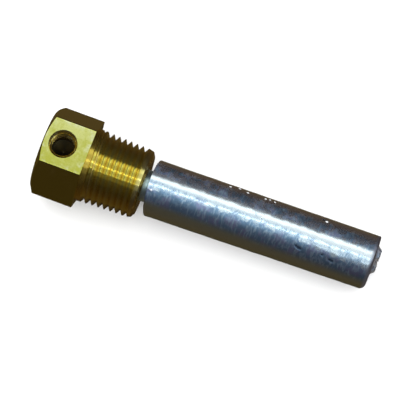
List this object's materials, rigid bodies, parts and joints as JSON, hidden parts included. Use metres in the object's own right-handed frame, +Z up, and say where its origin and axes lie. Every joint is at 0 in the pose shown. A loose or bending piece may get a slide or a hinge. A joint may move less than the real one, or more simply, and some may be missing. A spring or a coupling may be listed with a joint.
{
  "type": "pencil anode with pipe plug",
  "caption": "Cast zinc rod on a short stub in the end of a hexagon-head brass pipe plug, with a tapped bonding-wire hole in one flat and a torn sprue on the rod's far end.",
  "frame": {"origin": "on the bench, under the middle of the anode's bounding box", "axes": "+Z up, +X along the anode from the plug's head to the rod's far end; it lies on the head's lower shoulder edge and the rod's far end, with the bonding-wire hole up"},
  "size_m": [0.1022, 0.0274, 0.0247],
  "materials": {
    "turned_brass": "bright turned brass, dulled by handling",
    "cast_zinc": "as-cast zinc, blue-grey with a satin shine"
  },
  "bodies": {
    "root": {"brass_plug": "turned_brass", "zinc_rod": "cast_zinc"}
  },
  "joints": []
}
